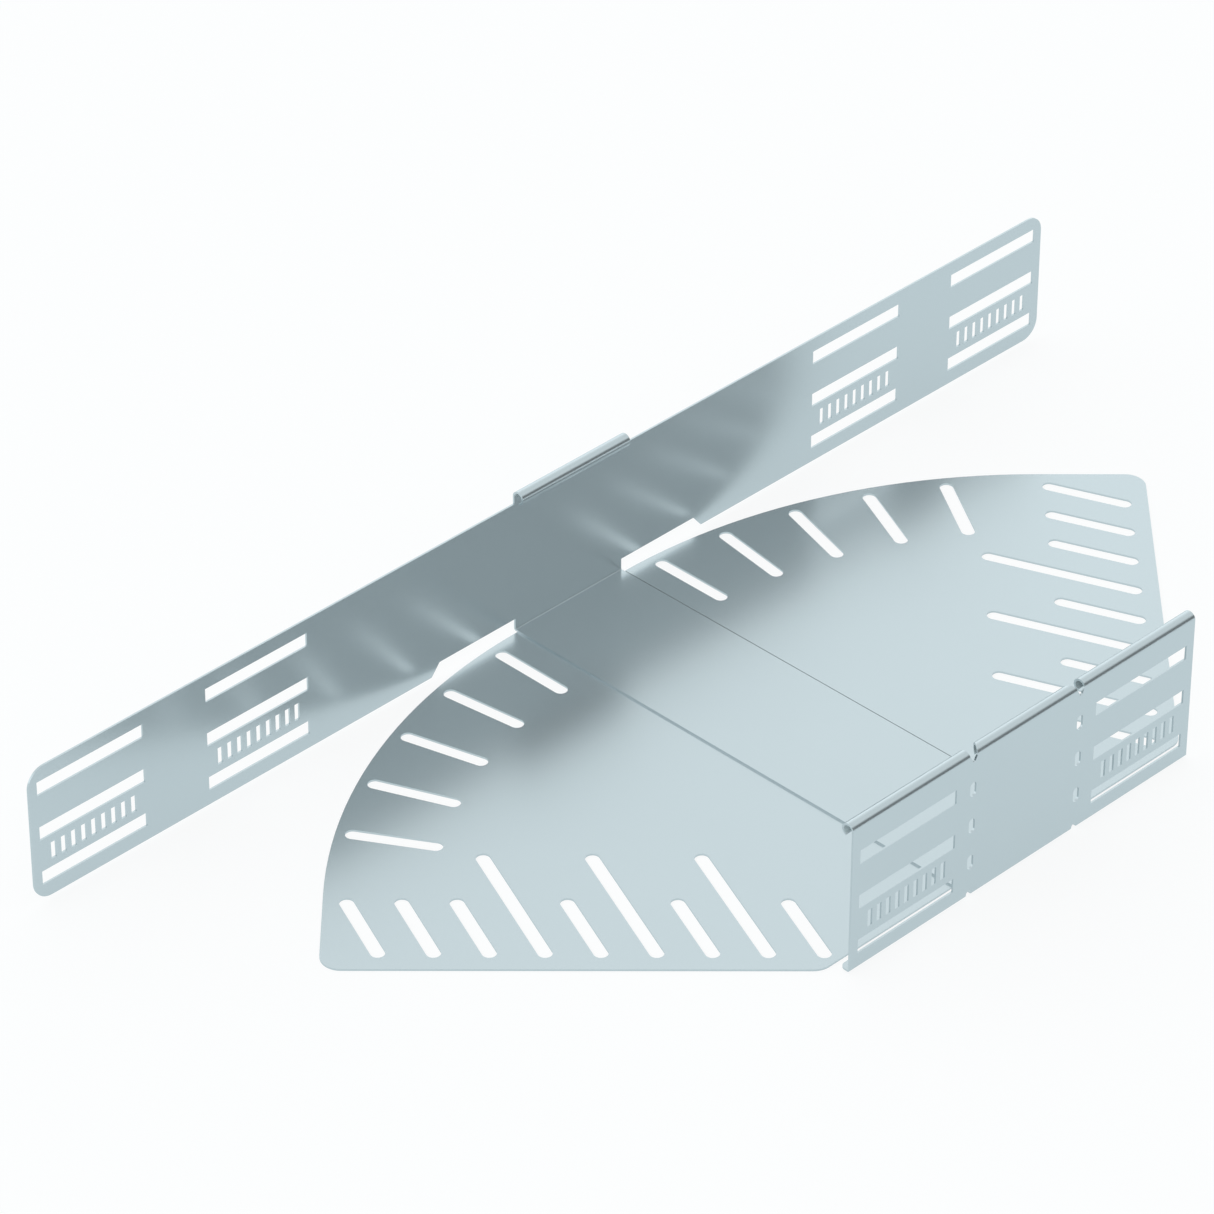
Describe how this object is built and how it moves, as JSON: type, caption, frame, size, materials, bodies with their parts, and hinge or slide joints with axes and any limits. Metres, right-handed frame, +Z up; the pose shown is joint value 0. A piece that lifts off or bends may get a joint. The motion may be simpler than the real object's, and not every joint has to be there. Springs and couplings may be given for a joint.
{
  "type": "cable tray bend",
  "caption": "Flat bend for perforated cable tray: straight slotted rails with cut bend lines, rolled beads, and two slotted fan plates under a centre strip.",
  "frame": {"origin": "on the mirror plane, midway between the outer faces of the two rails, at the underside of the fan plates", "axes": "+X along the rails, +Y from the inner rail to the outer rail, +Z up from the floor"},
  "size_m": [0.6788, 0.2968, 0.0824],
  "materials": {
    "galvanised_sheet": "bright galvanised sheet, smooth"
  },
  "bodies": {
    "root": {"rail_body": "galvanised_sheet", "left_fan_plate": "galvanised_sheet", "right_fan_plate": "galvanised_sheet"}
  },
  "joints": []
}
